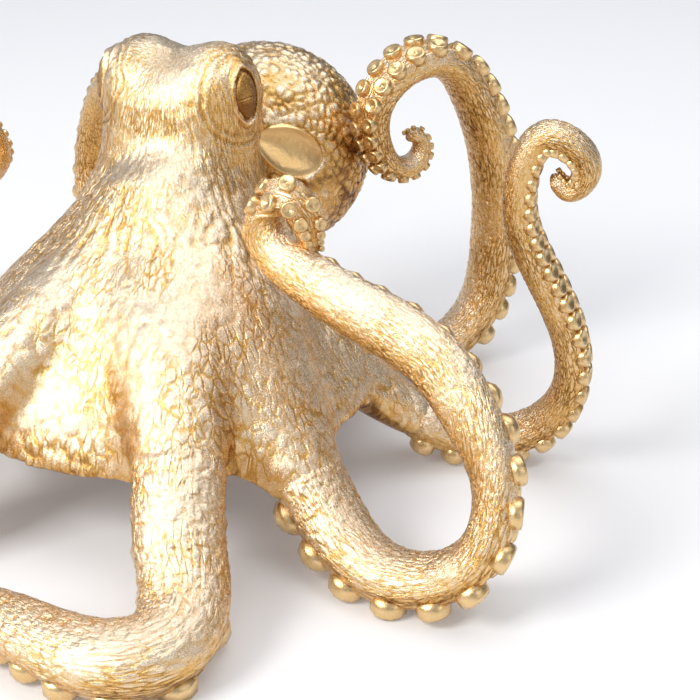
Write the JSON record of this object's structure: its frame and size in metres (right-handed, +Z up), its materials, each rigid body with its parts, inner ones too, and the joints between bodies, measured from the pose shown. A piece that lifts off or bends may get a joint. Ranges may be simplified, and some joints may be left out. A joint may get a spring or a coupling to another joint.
{
  "type": "octopus figurine",
  "caption": "Free-standing octopus ornament with a domed head, a round mantle behind it, a hollow spreading web and looping, suckered arms that rest on felt pads.",
  "frame": {"origin": "on the ground, under the middle of the figurine's outline", "axes": "+Z up; the creature's face looks along -Y; +X is the creature's own left"},
  "size_m": [0.4868, 0.4424, 0.227],
  "materials": {
    "gold_resin": "cast resin, satin metallic gold paint over a textured skin",
    "dowel_steel": "plain drawn steel pins",
    "felt": "dark brown self-adhesive felt"
  },
  "bodies": {
    "root": {"head_and_web": "gold_resin", "mantle": "gold_resin", "arm_left_1": "gold_resin", "arm_left_2": "gold_resin", "arm_left_3": "gold_resin", "arm_left_4": "gold_resin", "arm_right_1": "gold_resin", "arm_right_2": "gold_resin", "arm_right_3": "gold_resin", "arm_right_4": "gold_resin", "arm_dowels": "dowel_steel", "mantle_dowels": "dowel_steel", "felt_pads": "felt"}
  },
  "joints": []
}
